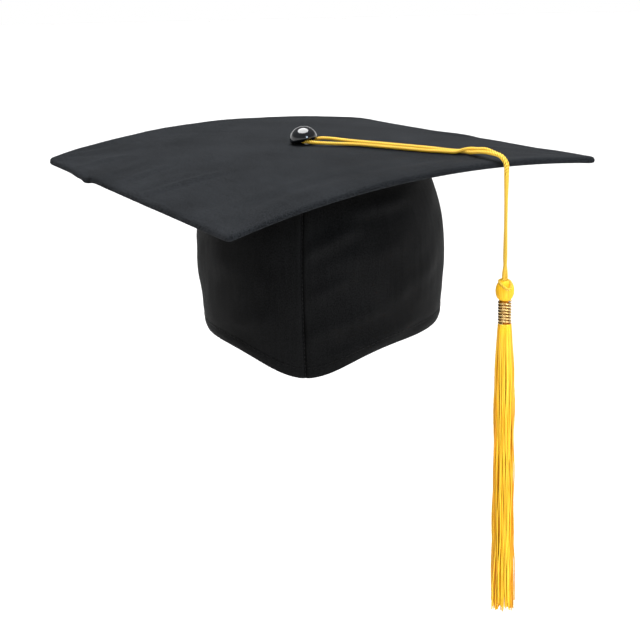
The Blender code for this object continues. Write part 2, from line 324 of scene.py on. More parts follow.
def cloth(
    name, dark, light, blue=0.1, roughness=0.85, sheen=0.05, gloss=0.12,
    thread=THREAD_PITCH, relief=0.6, lint=0.24,
):
    """Plain-woven cloth on a UV map in metres. Lint is how much its tone is speckled."""
    made = new_material(name)
    uv = made.add("UVMap")
    uv.uv_map = "UVMap"
    flat = uv.outputs[0]
    bands = []
    for turn in (0, 90):
        turned = made.add("Mapping", Rotation=(0, 0, turn * DEG), Vector=flat).outputs[0]
        wave = made.add(
            "TexWave", Vector=turned, Scale=WAVES_PER_METRE / thread,
            Distortion=0.6, Detail=1, Detail_Scale=0.4,
        )
        bands.append(wave.outputs["Fac"])
    weave = made.maths("MULTIPLY", *bands)
    slow = made.noise(flat, 22, detail=5)
    slub = made.noise(flat, 500, detail=2, stretch=(1, 0.12, 1))
    fuzz = made.noise(flat, 1300, detail=2)
    fine = made.maths("ADD", made.maths("ADD", weave, slub), fuzz)
    tone = made.maths("ADD", made.maths("MULTIPLY", fine, 0.24), made.maths("MULTIPLY", slow, 0.5))
    speck = made.maths("MULTIPLY", made.maths("SUBTRACT", fuzz, 0.5), lint)
    tone = made.maths("ADD", tone, speck)
    made.shade({
        "Base Color": made.ramp(tone, (0.34, grey(dark, blue)), (0.72, grey(light, blue))),
        "Normal": made.relief(slow, 0.35, 0.8 * MM, made.relief(weave, relief, 0.12 * MM)),
        "Roughness": roughness,
        "Specular IOR Level": gloss,
        "Sheen Weight": sheen,
        "Sheen Roughness": 0.45,
        "Sheen Tint": (0.86, 0.9, 1.0, 1),
    })
    return made.owner


# %% Cloth finishes
# The top and the crown are one black cloth in two copies. The top's copy is painted lighter and bluer, as
# light and sheen from above. The crown's copy is painted darker, as the shade under the board.
LIT_TOP_CLOTH = cloth("lit top cloth", 0.0045, 0.0175, blue=0.26, sheen=0.006, gloss=0.05, lint=1.6)
SHADED_CROWN_CLOTH = cloth(
    "shaded crown cloth", 0.0020, 0.0085, blue=0.04, sheen=0.002, gloss=0.03, roughness=0.62, lint=0.8
)
UNDER_CLOTH = cloth("under cloth", 0.008, 0.016, blue=0.02, sheen=0.01)
LINING_CLOTH = cloth(
    "lining cloth", 0.012, 0.022, blue=0.05, sheen=0.02, gloss=0.3, roughness=0.5, thread=0.4 * MM
)
BAND_CLOTH = cloth("band cloth", 0.018, 0.040, sheen=0.02, thread=1.1 * MM, relief=0.9)
print("cloth finishes:", [m.name for m in bpy.data.materials if "cloth" in m.name])

# %% [markdown]
# ## The cover of the board
# The cover is one piece of cloth drawn over a stiff square and turned down round its edge. It
# starts as a flat grid whose four corners are rounded. The rim is then extruded in small steps
# that roll over the edge, as cloth does over a board. Small folds run in from the corners, where
# there is too much cloth, and the edge is a little fuller where the seam lies inside it.

# %% Folds in the cover
CORNER_R = 5 * MM
CLOTH_T = 0.4 * MM


def outward_of(u, v, half, corner):
    """The direction straight out of a rounded square at a point of its rim."""
    inner = half - corner
    away = Vector((u - max(-inner, min(inner, u)), v - max(-inner, min(inner, v)), 0))
    return away.normalized() if away.length > 1e-9 else Vector((0, 0, 0))


def crease(x, y, start, end, wide, deep):
    """A soft crease from one place to another: a furrow with a low ridge beside it."""
    run = Vector(end) - Vector(start)
    away = Vector((x, y)) - (Vector(start) + Vector(end)) / 2
    way = run.normalized()
    along = away.dot(way) / (run.length / 2)
    across = (away.x * -way.y + away.y * way.x) / wide
    hollow = 0.45 * math.exp(-(across**2))
    ridge = math.exp(-(((across - 1.7) / 1.25) ** 2))
    return deep * math.exp(-(along**4)) * (ridge - hollow)


# Where the cord crosses the front right edge, and its direction from the button, in u and v.
EDGE_ALONG_U = 50.6 * MM
EDGE_S = math.hypot(EDGE_ALONG_U, HALF)
RAY_U = EDGE_ALONG_U / EDGE_S
RAY_V = -HALF / EDGE_S


RIDGE_H = 2.6 * MM
RIDGE_LIMIT = 3.5 * MM


def rise_below_cord(along, across):
    """The loose cloth stands up in a low ridge under the cord."""
    ends = smooth_step(along, 8 * MM, 40 * MM) * (1 - smooth_step(along, 112 * MM, 128 * MM))
    return RIDGE_H * bump(across, 3 * MM, 6.5 * MM) * ends


# Each corner's side in u and v, how strong its folds are, and a seed.
CORNERS = ((-1, 1, 0.6, 3.0), (-1, -1, 0.45, 9.0), (1, -1, 0.25, 17.0), (1, 1, 0.3, 25.0))


def corner_folds(u, v):
    """Fine folds that run in from each corner and fade out."""
    total = 0.0
    for cu, cv, strength, seed in CORNERS:
        du = u - cu * HALF
        dv = v - cv * HALF
        away = math.hypot(du, dv)
        angle = math.atan2(dv, du)
        wander = noise.noise(Vector((away * 18, seed, 0)))
        fold = math.sin(angle * 13 + seed + wander * 2.2)
        total += strength * fold * math.exp(-away / (55 * MM)) * smooth_step(away, 3 * MM, 20 * MM)
    return total * MM


# Start and end in u and v, width and depth, all in millimetres.
DRAWN_CREASES = (
    ((-118, -19), (-70, -28), 3.4, 1.0),
    ((-116, -6), (-84, -14), 4.5, 0.45),
    ((-116, 15), (-82, 18), 3.2, 0.7),
    ((-118, 34), (-86, 40), 4.2, 0.5),
    ((-117, 77), (-88, 66), 3.0, 0.6),
    ((-60, 60), (10, 95), 6.0, 0.4),
    ((-109, -90), (-40, -90), 5.0, 0.55),
    ((-40, -91), (40, -97), 6.0, 0.35),
    ((60, -60), (108, -100), 6.0, 0.4),
    ((96, 10), (116, -22), 6.0, 0.6),
)


def drawn_folds(u, v):
    """Wrinkles where the cloth is drawn to the corners, and a slow unevenness all over."""
    total = sum(
        crease(u / MM, v / MM, start, end, wide, deep) for start, end, wide, deep in DRAWN_CREASES
    )
    along = (u - v) / math.sqrt(2)
    across = (u + v) / math.sqrt(2)
    ripple = noise.noise(Vector((along * 12, across * 40, 4.0)))
    fine = noise.noise(Vector((along * 40, across * 120, 8.0)))
    left = smooth_step(-along, -40 * MM, 110 * MM)
    return (total + (0.5 * ripple + 0.16 * fine) * (0.35 + 0.8 * left)) * MM


def edge_fullness(u, v):
    """The hem inside makes the cloth stand up near the edge, most on the front right one."""
    near = HALF - max(abs(u), abs(v))
    wander = noise.noise(Vector((u * 28, v * 28, 2.0)))
    front = smooth_step(-v, 60 * MM, 100 * MM) * smooth_step(-u, -90 * MM, 10 * MM)
    padded = 0.95 * bump(near, 15 * MM, 9 * MM) - 0.3 * bump(near, 2 * MM, 4 * MM)
    hem = 0.4 * bump(near, 5 * MM, 3.5 * MM)
    return (hem + 0.55 * wander * math.exp(-near / (13 * MM)) + padded * front) * MM


DEEPEST = 0.65 * MM


def cover_relief(u, v):
    """How far the cloth leaves the board. It never sinks into the card below it."""
    relief = corner_folds(u, v) + drawn_folds(u, v) + edge_fullness(u, v)
    under_cord = rise_below_cord(u * RAY_U + v * RAY_V, v * RAY_U - u * RAY_V)
    relief = relief * (1 - under_cord / RIDGE_LIMIT) + under_cord
    return relief if relief > 0 else -DEEPEST * math.tanh(-relief / DEEPEST)


def corner_pull(u, v):
    """The cloth is drawn out to a point past the card at the right corner, and bunched near the left."""
    away = math.hypot(u - HALF, v + HALF)
    pull = 3.4 * MM * math.exp(-away / (11 * MM))
    lump = smooth_step(-u, 112 * MM, 119 * MM) * (bump(v, 58 * MM, 6 * MM) + 0.5 * bump(v, 70 * MM, 9 * MM))
    return Vector((pull - 1.5 * MM * lump, -pull, -0.9 * MM * lump))


# %% Rolled cover
# How far out and how far down the cloth goes as it rolls over the edge, in millimetres.
EDGE_ROLL = (
    (0.6, -0.1), (1.15, -0.4), (1.55, -0.85), (1.75, -1.45), (1.8, -2.1),
    (1.72, -2.75), (1.35, -3.35), (0.6, -3.75), (-0.5, -3.95), (-2.0, -4.0),
)


def make_cover():
    """The cover as one sheet: top, rolled edge and the turn under the board."""
    half = HALF - 2.1 * MM
    bm = bmesh.new()
    bmesh.ops.create_grid(bm, x_segments=116, y_segments=116, size=half)
    corners = [v for v in bm.verts if abs(v.co.x) > half * 0.9999 and abs(v.co.y) > half * 0.9999]
    bmesh.ops.bevel(
        bm, geom=corners, offset=CORNER_R, segments=6, profile=0.5, affect="VERTICES", material=-1
    )
    rim = [e for e in bm.edges if e.is_boundary]
    before = (0.0, 0.0)
    for out, down in EDGE_ROLL:
        made = bmesh.ops.extrude_edge_only(bm, edges=rim)["geom"]
        fresh = [v for v in made if isinstance(v, bmesh.types.BMVert)]
        for vert in fresh:
            x, y = vert.co.x, vert.co.y
            way = outward_of(x, y, half + before[0] * MM, CORNER_R + before[0] * MM)
            vert.co += way * (out - before[0]) * MM
            vert.co.z += (down - before[1]) * MM
        rim = [e for e in made if isinstance(e, bmesh.types.BMEdge) and e.is_boundary]
        before = (out, down)
    bmesh.ops.recalc_face_normals(bm, faces=bm.faces)
    if max(bm.faces, key=lambda f: f.calc_center_median().z).normal.z < 0:
        bmesh.ops.reverse_faces(bm, faces=bm.faces)
    uv = bm.loops.layers.uv.new("UVMap")
    for face in bm.faces:
        for loop in face.loops:
            place = loop.vert.co
            loop[uv].uv = (place.x, place.y + place.z)
    for vert in bm.verts:
        pulled = vert.co + corner_pull(vert.co.x, vert.co.y)
        relief = cover_relief(vert.co.x, vert.co.y) * smooth_step(vert.co.z, -4.5 * MM, -0.5 * MM)
        vert.co = board_place(pulled.x, pulled.y, pulled.z + relief)
    return mesh_of(bm, "board_cover")


BOARD_COVER = finish_piece(
    "board_cover", make_cover(), LIT_TOP_CLOTH, "cap", ["board_top_cover"]
)
give_thickness(BOARD_COVER, CLOTH_T)
print("board cover:", len(BOARD_COVER.data.polygons), "faces")

# %% Under cover
def make_under_cover():
    """The cloth on the underside, a flat square that ends at the cover's turn."""
    half = HALF - 3.4 * MM
    bm = bmesh.new()
    bmesh.ops.create_grid(bm, x_segments=64, y_segments=64, size=half)
    uv = bm.loops.layers.uv.new("UVMap")
    for face in bm.faces:
        for loop in face.loops:
            loop[uv].uv = (loop.vert.co.x, loop.vert.co.y)
    for vert in bm.verts:
        u, v = vert.co.x, vert.co.y
        sag = noise.noise(Vector((u * 20, v * 20, 31.0))) * 0.25 + 0.2 * corner_folds(u, v) / MM
        inside = 1 - bump(max(abs(u), abs(v)), half, 3 * MM)
        vert.co = board_place(u, v, -3.75 * MM + sag * 0.4 * inside * MM)
    bmesh.ops.reverse_faces(bm, faces=bm.faces)
    return mesh_of(bm, "under_cover")


UNDER_COVER = finish_piece(
    "under_cover", make_under_cover(), UNDER_CLOTH, "cap", ["board_under_cover"]
)
give_thickness(UNDER_COVER, CLOTH_T)
print("under cover:", len(UNDER_COVER.data.polygons), "faces")

# %% [markdown]
# ## The crown
# The crown is a soft oval wall that hangs from the board, fullest halfway down and dipping to a
# point over the forehead. Its cloth is a little too long for the space it has, and that is what
# makes it fold, so the folds are found by letting a cloth simulation settle a wall that is just
# over one per cent too large, held at the board and at the hem. The shift of each point is then
# read back and given to two clean panels, because a seam and a hem are easier to make on a tidy
# grid. The longer creases that a worn cap keeps are added to it one by one.

# %% Crown shape
CROWN_HALF_W = 75.1 * MM
CROWN_HALF_L = 98.3 * MM
CROWN_TOP_K = 0.815
CROWN_HEM_K = 0.956
GAP = 0.3 * MM


def hem_height(angle):
    """Height of the crown's lower edge. It dips to a soft point at the front."""
    return -15.1 * MM * math.exp(-((math.remainder(angle, TURN) / 0.452) ** 2))


def crown_plan(angle, fall, inset):
    """Ground plan of the crown at a fall of 0 under the board to 1 at the hem."""
    if fall < 0.5:
        k = CROWN_TOP_K + (1 - CROWN_TOP_K) * math.sin(fall * math.pi)
    else:
        k = 1 - (1 - CROWN_HEM_K) * ((fall - 0.5) / 0.5) ** 2
    return (CROWN_HALF_W * k - inset) * math.sin(angle), -(CROWN_HALF_L * k - inset) * math.cos(angle)


def roof_height(angle):
    """Height of the board's underside where the crown meets it."""
    return BOARD_CENTRE.z + board_height(*board_uv(*crown_plan(angle, 0, 0))) - BOARD_T


def crown_place(angle, z, inset):
    """A point of the crown wall at a height."""
    roof = roof_height(angle)
    hem = hem_height(angle)
    x, y = crown_plan(angle, (roof - z) / (roof - hem), inset)
    return Vector((x, y, z))


def crown_out(angle):
    """The level direction straight out of the crown."""
    return Vector((math.sin(angle) / CROWN_HALF_W, -math.cos(angle) / CROWN_HALF_L, 0)).normalized()


FRONT_H, SIDE_H = roof_height(0) - hem_height(0), roof_height(math.pi / 2)
print("crown height at front", round(FRONT_H / MM, 1), "mm, at side", round(SIDE_H / MM, 1))

# %% Settle the crown's cloth
WALL_STEPS = 180
WALL_ROWS = 40
SETTLE_FRAMES = 36
TOO_LARGE = 0.012
FOLD_CAP = 0.7 * MM
FOLD_SOFTNESS = 3.2 * MM


def wall_grid(name, inset, steps, rows):
    """An open oval wall of cloth, its vertices in order of angle and height."""
    bm = bmesh.new()
    bmesh.ops.create_grid(bm, x_segments=steps, y_segments=rows, size=1)
    for vert in bm.verts:
        angle = math.pi * (vert.co.x + 1)
        hem = hem_height(angle)
        z = hem + (roof_height(angle) - hem) * (vert.co.y + 1) / 2
        vert.co = crown_place(angle, z, inset)
    bmesh.ops.remove_doubles(bm, verts=bm.verts, dist=0.01 * MM)
    return new_object(name, mesh_of(bm, name))


def settled_folds():
    """Runs the cloth simulation and gives {(step, row): shift outward}."""
    wall = wall_grid("wall_cloth", 0, WALL_STEPS, WALL_ROWS)
    form = wall_grid("head_form", 2.2 * MM, 90, 20)
    form.modifiers.new("form", "COLLISION")
    form.collision.thickness_outer = 0.5 * MM
    rest = [v.co.copy() for v in wall.data.vertices]
    held = wall.vertex_groups.new(name="held")
    for vert in wall.data.vertices:
        angle = math.atan2(vert.co.x / CROWN_HALF_W, -vert.co.y / CROWN_HALF_L)
        up = (vert.co.z - hem_height(angle)) / (roof_height(angle) - hem_height(angle))
        if up > 0.985 or up < 0.02:
            held.add([vert.index], 1.0, "REPLACE")
    cloth_modifier = wall.modifiers.new("cloth", "CLOTH")
    settings = cloth_modifier.settings
    settings.quality = 6
    settings.mass = 0.12
    settings.tension_stiffness = 25
    settings.compression_stiffness = 25
    settings.shear_stiffness = 8
    settings.bending_stiffness = 0.25
    settings.shrink_min = -TOO_LARGE
    settings.shrink_max = -TOO_LARGE
    settings.vertex_group_mass = "held"
    cloth_modifier.collision_settings.distance_min = 0.6 * MM
    cloth_modifier.point_cache.frame_start = 1
    cloth_modifier.point_cache.frame_end = SETTLE_FRAMES
    for step in range(1, SETTLE_FRAMES + 1):
        bpy.context.scene.frame_set(step)
    graph = bpy.context.evaluated_depsgraph_get()
    settled = wall.evaluated_get(graph).to_mesh()
    shifts = {}
    for vert, start in zip(settled.vertices, rest):
        angle = math.atan2(start.x / CROWN_HALF_W, -start.y / CROWN_HALF_L) % TURN
        up = (start.z - hem_height(angle)) / (roof_height(angle) - hem_height(angle))
        key = (round(angle / TURN * WALL_STEPS) % WALL_STEPS, round(up * WALL_ROWS))
        shifts[key] = (vert.co - start).dot(crown_out(angle))
    bpy.context.scene.frame_set(1)
    for obj in (wall, form):
        bpy.data.objects.remove(obj)
    return shifts


FOLDS = settled_folds()
if FOLDS:
    print("folds: from", round(min(FOLDS.values()) / MM, 2), "to", round(max(FOLDS.values()) / MM, 2), "mm")


def fold_at(angle, up):
    """The settled shift at any angle and height, capped so that the crown keeps its outline."""
    if not FOLDS:
        return 0.0
    across = (angle % TURN) / TURN * WALL_STEPS
    high = max(0.0, min(WALL_ROWS - 1e-6, up * WALL_ROWS))
    i, j = int(across), int(high)
    a, b = across - i, high - j
    value = 0.0
    for row, up_share in ((0, 1 - b), (1, b)):
        for step, round_share in ((0, 1 - a), (1, a)):
            near = FOLDS.get(((i + step) % WALL_STEPS, j + row), 0.0)
            value += near * round_share * up_share
    return FOLD_CAP * math.tanh(value / FOLD_SOFTNESS)


# %% Crown panels
SEAM_LAP = 0.03 * MM / CROWN_HALF_W
CROWN_T = 0.9 * MM
CROWN_IN = 0.4 * MM
HEM_STITCH = 6.2 * MM
MEAN_R = 87 * MM
MEAN_HALF_DEPTH = 50 * MM
# Start and end as degrees round from the front and height, then width and depth.
CROWN_CREASES = (
    ((2, 49), (26, 64), 3.4, 2.1),
    ((6, 26), (26, 38), 3.4, 2.0),
    ((2, 0), (38, 16), 4.6, 2.8),
    ((14, -9), (58, 5), 3.4, 1.5),
    ((24, 71), (54, 75), 3.6, 2.0),
    ((16, 41), (50, 50), 5.0, 1.2),
    ((42, 18), (74, 34), 5.5, 0.9),
    ((-36, 6), (-4, 12), 5.0, 0.7),
    ((-52, 40), (-10, 30), 6.0, 0.5),
    ((-30, 74), (-8, 70), 4.0, 0.5),
    ((-80, 20), (-52, 40), 6.0, 0.8),
    ((95, 18), (135, 40), 6.0, 0.9),
    ((110, 62), (150, 70), 5.0, 0.8),
    ((-150, 16), (-112, 34), 6.0, 0.9),
    ((-165, 60), (-130, 66), 5.0, 0.8),
    ((165, 30), (196, 36), 5.0, 0.8),
)


def crown_relief(angle, z):
    """Everything that lifts or sinks the crown's cloth: folds, seams and hem."""
    hem, roof = hem_height(angle), roof_height(angle)
    up = (z - hem) / (roof - hem)
    from_seam = abs(math.remainder(angle, math.pi)) * CROWN_HALF_W
    from_hem = z - hem
    slack = noise.noise(Vector((math.sin(angle) * 2.4, math.cos(angle) * 2.4, z * 26 + angle)))
    diagonal = noise.noise(Vector((angle * 2.6 + z * 30, z * 55 - angle * 3.0, 12.0)))
    loose = smooth_step(from_seam, 0, 18 * MM) * smooth_step(from_hem, 4 * MM, 20 * MM)
    lift = fold_at(angle, up) + (0.5 * slack + 0.8 * diagonal) * loose * MM
    turned = math.degrees(math.remainder(angle, TURN))
    for start, end, wide, deep in CROWN_CREASES:
        lift += crease(turned, z / MM, start, end, wide, deep) * MM * smooth_step(from_seam, 0, 5 * MM)
    if lift < 0:
        lift = -0.6 * MM * math.tanh(-lift / (0.6 * MM))
    lift -= 0.5 * MM * bump(from_seam, 0, 0.9 * MM)
    lift += 0.4 * MM * bump(from_seam, 3.0 * MM, 1.8 * MM)
    lift -= 0.3 * MM * bump(from_hem, HEM_STITCH, 0.8 * MM)
    return max(lift, -1.0 * MM) + 0.3 * MM * bump(from_hem, 3 * MM, 2 * MM)


def crown_sheet(name, start, end, inset, low, high, steps, rows, relief):
    """A curved sheet of the crown between two angles and two edges, with a UV map in metres."""
    bm = bmesh.new()
    bmesh.ops.create_grid(bm, x_segments=steps, y_segments=rows, size=1)
    uv = bm.loops.layers.uv.new("UVMap")
    for face in bm.faces:
        for loop in face.loops:
            angle = start + (end - start) * (loop.vert.co.x + 1) / 2
            loop[uv].uv = (angle * MEAN_R, (loop.vert.co.y + 1) * MEAN_HALF_DEPTH)
    for vert in bm.verts:
        angle = start + (end - start) * (vert.co.x + 1) / 2
        hem, roof = hem_height(angle), roof_height(angle)
        bottom, top = low(roof, hem), high(roof, hem)
        z = bottom + (top - bottom) * (vert.co.y + 1) / 2
        vert.co = crown_place(angle, z, inset) + crown_out(angle) * relief(angle, z)
    if end - start > TURN - 0.001:
        bmesh.ops.remove_doubles(bm, verts=bm.verts, dist=0.02 * MM)
    bm.normal_update()
    bm.faces.ensure_lookup_table()
    face = bm.faces[0]
    if face.normal.dot(face.calc_center_median().to_2d().to_3d()) < 0:
        bmesh.ops.reverse_faces(bm, faces=bm.faces)
    return mesh_of(bm, name)


def above_hem(distance):
    """An edge that follows the hem."""
    return lambda roof, hem: hem + distance


def below_board(distance):
    """An edge that follows the underside of the board."""
    return lambda roof, hem: roof - distance


for panel, start in (("crown_right_panel", 0.0), ("crown_left_panel", math.pi)):
    sheet_mesh = crown_sheet(
        panel, start - SEAM_LAP, start + math.pi + SEAM_LAP, CROWN_IN,
        above_hem(0), below_board(-0.5 * MM), 130, 62, crown_relief,
    )
    piece = finish_piece(
        panel, sheet_mesh, SHADED_CROWN_CLOTH, "cap", [panel.replace("_panel", "")]
    )
    give_thickness(piece, CROWN_T)
    print(panel, len(sheet_mesh.polygons), "faces")

# %% [markdown]
# ## Inside the crown
# A wearer sees a smooth lining, a sweatband round the brow, a band of elastic at the back of the
# neck, and narrow tapes that cover the two raw seams. They use the same curved sheet as the
# panels, at their own depths. The elastic is gathered, so its sheet has small even ripples.

# %% Lining, bands and tapes
STIFFENER_IN = 1.3 * MM
LINING_IN = 2.4 * MM
INNER_IN = 3.3 * MM


def lining_relief(angle, z):
    """Lining hangs a little loose between its seams."""
    return -0.35 * MM * abs(noise.noise(Vector((angle * 9, z * 30, 40.0))))


def band_relief(angle, z):
    """The sweatband is quilted flat by its two rows of stitching."""
    from_hem = z - hem_height(angle)
    return 0.25 * MM * (bump(from_hem, 6 * MM, 1 * MM) + bump(from_hem, 30 * MM, 1 * MM))


def elastic_relief(angle, z):
    """Elastic draws the cloth over it into even gathers."""
    return 0.28 * MM * math.sin(angle * 190 + 2 * noise.noise(Vector((angle * 20, z * 80, 5))))


def flat_relief(angle, z):
    """Tape lies flat."""
    return 0.05 * MM * noise.noise(Vector((angle * 30, z * 300, 60.0)))


# Piece, node, finish, start and end in degrees, depth, lower and upper edge, steps, rows, relief, thickness.
INSIDE = (
    (
        "stiffener_sheet", "crown_stiffener", "card", -140, 140, STIFFENER_IN,
        above_hem(6 * MM), below_board(2 * MM), 90, 24, flat_relief, 0.7,
    ),
    (
        "lining_sheet", "crown_lining", "lining_cloth", 0, 360, LINING_IN,
        above_hem(2 * MM), below_board(0.6 * MM), 150, 36, lining_relief, 0.5,
    ),
    (
        "sweatband_sheet", "sweatband", "band", -120, 120, INNER_IN,
        above_hem(3 * MM), above_hem(33 * MM), 150, 20, band_relief, 1.1,
    ),
    (
        "elastic_sheet", "back_elastic", "band", 128, 232, INNER_IN,
        above_hem(4 * MM), above_hem(24 * MM), 220, 10, elastic_relief, 0.9,
    ),
    (
        "front_tape_sheet", "front_seam_tape", "band", -4.5, 4.5, INNER_IN,
        above_hem(33.6 * MM), below_board(10 * MM), 10, 30, flat_relief, 0.5,
    ),
    (
        "top_tape_sheet", "top_seam_tape", "band", 0, 360, INNER_IN,
        below_board(9 * MM), below_board(0.8 * MM), 150, 6, flat_relief, 0.5,
    ),
)
FINISH_OF = {"card": UNDER_CLOTH, "lining_cloth": LINING_CLOTH, "band": BAND_CLOTH}
for name, node, slot, start, end, inset, low, high, steps, rows, relief, thick in INSIDE:
    sheet_mesh = crown_sheet(name, start * DEG, end * DEG, inset, low, high, steps, rows, relief)
    piece = finish_piece(name, sheet_mesh, FINISH_OF[slot], "cap", [node])
    give_thickness(piece, thick * MM)
print("inside:", ", ".join(row[0] for row in INSIDE))

# %% [markdown]
# ## Stitches
# Thread is what tells the eye that cloth is sewn. A stitch is a tiny rounded bar half sunk in the
# cloth, so one low sphere is stretched and laid again and again along a line. A whole row is one
# mesh, and each stitch has only a few dozen faces.

# %% Stitch rows
STITCHING = new_material("stitch thread")
twist_noise = STITCHING.noise(STITCHING.place(), 2600, detail=2)
STITCHING.shade({
    "Base Color": STITCHING.ramp(twist_noise, (0.3, grey(0.004)), (0.7, grey(0.012))),
    "Normal": STITCHING.relief(twist_noise, 0.5, 0.05 * MM),
    "Roughness": 0.6,
    "Specular IOR Level": 0.1,
})


def stitch_row(name, line, length, gap, radius):
    """A row of stitches along a line of points."""
    bm = bmesh.new()
    travelled = travelled_along(line)
    at = gap
    index = 0
    while at + length < travelled[-1]:
        middle = at + length / 2
        while travelled[index + 1] < middle:
            index += 1
        share = (middle - travelled[index]) / (travelled[index + 1] - travelled[index])
        place = line[index].lerp(line[index + 1], share)
        way = (line[index + 1] - line[index]).normalized()
        turn = way.to_track_quat("X", "Z").to_matrix().to_4x4()
        shape = Matrix.Diagonal((length / 2, radius, radius, 1))
        bmesh.ops.create_uvsphere(
            bm, u_segments=6, v_segments=4, radius=1,
            matrix=Matrix.Translation(place) @ turn @ shape @ Matrix.Rotation(math.pi / 2, 4, "Y"),
        )
        at += length + gap
    return finish_piece(name, mesh_of(bm, name), STITCHING.owner, "cap")


def on_crown(angle, z, lift):
    """A point on the outside of the crown's cloth."""
    return crown_place(angle, z, 0) + crown_out(angle) * (crown_relief(angle, z) + lift)


HEM_LINE = [
    on_crown(step * DEG, hem_height(step * DEG) + HEM_STITCH, 0.02 * MM) for step in range(361)
]
stitch_row("hem_stitches", HEM_LINE, 2.3 * MM, 1.0 * MM, 0.22 * MM)
for name, angle in (("front_seam_stitches", 0.0), ("back_seam_stitches", math.pi)):
    top, low = roof_height(angle) - 1 * MM, hem_height(angle) + 1 * MM
    seam = [on_crown(angle, top + (low - top) * k / 60, 0.25 * MM) for k in range(61)]
    stitch_row(name, seam, 1.7 * MM, 0.9 * MM, 0.26 * MM)
BAND_LINE = [
    crown_place(step * DEG, hem_height(step * DEG) + 30.5 * MM, INNER_IN + 1.15 * MM)
    for step in range(-118, 119, 2)
]
stitch_row("sweatband_stitches", BAND_LINE, 2.4 * MM, 1.2 * MM, 0.22 * MM)
UNDER_EDGE = [(-1, -1), (1, -1), (1, 1), (-1, 1), (-1, -1)]
UNDER_HALF = HALF - 4.5 * MM
UNDER_LINE = []
for (a, b), (c, d) in zip(UNDER_EDGE, UNDER_EDGE[1:]):
    for k in range(40):
        t = k / 40
        u, v = (a + (c - a) * t) * UNDER_HALF, (b + (d - b) * t) * UNDER_HALF
        UNDER_LINE.append(board_place(u, v, -4.1 * MM))
stitch_row("under_edge_stitches", UNDER_LINE, 2.6 * MM, 1.3 * MM, 0.2 * MM)

# %% [markdown]
# ## The button
# The button is a polished black shell, hollow below, on a rivet. The cord that goes round the rivet
# tips it up on one side. Its profile is drawn once, half in section, and spun. It has no colour to
# speak of, so its look is all in the reflections: a very smooth surface under a clear coat, with
# faint rubbing marks in the roughness.

# %% Button
BUTTON_TOP = 10.8 * MM
BUTTON_R = 8.5 * MM
BUTTON_RISE = 8.0 * MM
BUTTON_FALL = 2.0 * MM
BUTTON_TIP = 12 * DEG
BUTTON_SHIFT = Vector((-1.3, 0, 0)) * MM


def turned_piece(name, profile, steps, middle):
    """A mesh spun about the vertical through a point. The profile is (radius, height) pairs."""
    bm = bmesh.new()
    ring = [bm.verts.new((r, 0, z)) for r, z in profile]
    edges = [bm.edges.new(pair) for pair in zip(ring, ring[1:])]
    bmesh.ops.spin(
        bm, geom=ring + edges, cent=(0, 0, 0), axis=(0, 0, 1), angle=TURN, steps=steps, use_merge=True
    )
    bmesh.ops.remove_doubles(bm, verts=bm.verts, dist=0.005 * MM)
    bmesh.ops.recalc_face_normals(bm, faces=bm.faces)
    bmesh.ops.translate(bm, verts=bm.verts, vec=middle)
    return mesh_of(bm, name)


GLOSS = new_material("polished black")
rub = GLOSS.noise(GLOSS.place(), 260, detail=6)
GLOSS.shade({
    "Base Color": GLOSS.ramp(rub, (0.3, (0.003, 0.003, 0.004)), (0.8, (0.008, 0.009, 0.012))),
    "Roughness": GLOSS.ramp(rub, (0.4, grey(0.06)), (0.75, grey(0.16))),
    "Normal": GLOSS.relief(rub, 0.02, 0.05 * MM),
    "Coat Weight": 0.6,
    "Coat Roughness": 0.04,
})

DOME = []
for step in range(0, 21):
    angle = step / 20 * 135 * DEG
    stretch = BUTTON_RISE if angle < math.pi / 2 else BUTTON_FALL
    DOME.append((BUTTON_R * math.sin(angle), BUTTON_TOP - BUTTON_RISE + stretch * math.cos(angle)))
DOME[0] = (0, BUTTON_TOP)
HOLLOW = ((5.8, 1.2), (5.4, 1.6), (5.4, 4.6), (3.8, 5.6), (0, 5.6))
DOME += [(r * MM, z * MM) for r, z in HOLLOW]
button_mesh = turned_piece("button_ball", DOME, 64, Vector((0, 0, 0)))
cord_way = (RAY_U * ALONG_U + RAY_V * ALONG_V).normalized()
tipped = Matrix.Rotation(-BUTTON_TIP, 4, Vector((-cord_way.y, cord_way.x, 0)))
button_mesh.transform(Matrix.Translation(BOARD_CENTRE + BUTTON_SHIFT) @ tipped)
finish_piece("button_ball", button_mesh, GLOSS.owner, "cap", ["button_dome"])
print("button tipped", round(BUTTON_TIP / DEG, 1), "degrees by the cord under it")

# %% [markdown]
# ## The cord
# The cord is limp rayon, two millimetres thick and laid from three plies. It leaves the tassel,
# climbs to the board's edge, crosses the board, goes round the button's rivet and comes back the
# same way. The two strands lie side by side by the button, cross once near the edge, and hang
# together with a slow half turn. First comes the line between the two strands, as a function of
# the distance along it. Each strand then keeps its own side of that line, and each ply winds
# round its strand. Curves with a bevel make the plies, which are then turned to a mesh.

# %% Cord route
STRAND_R = 1.05 * MM
STRAND_PITCH = 5.0 * MM
POINT_STEP = 0.27 * MM
ALONG = cord_way
ACROSS = Vector((-ALONG.y, ALONG.x, 0))
UP = Vector((0, 0, 1))
LIE = 1.05 * MM + GAP
BEND_R = 3 * MM
BEND_S = EDGE_S + 1.1 * MM
BEND_Z = board_height(EDGE_ALONG_U, -HALF) + LIE
HANG_S = BEND_S + BEND_R
HANG_Z = BEND_Z - BEND_R
BEND_OUT = BEND_R + 1.5 * MM
TURN_R = 4.0 * MM
JOIN_Z = HANG_Z - 4.7 * MM
HEAD_Z = BEND_Z - 70.2 * MM
EDGE_PIVOT = BOARD_CENTRE + ALONG * HANG_S + UP * (HANG_Z - 1.7 * MM)
HEAD_PIVOT = Vector((EDGE_PIVOT.x + 0.8 * MM, EDGE_PIVOT.y, BOARD_CENTRE.z + BEND_Z - 73.4 * MM))


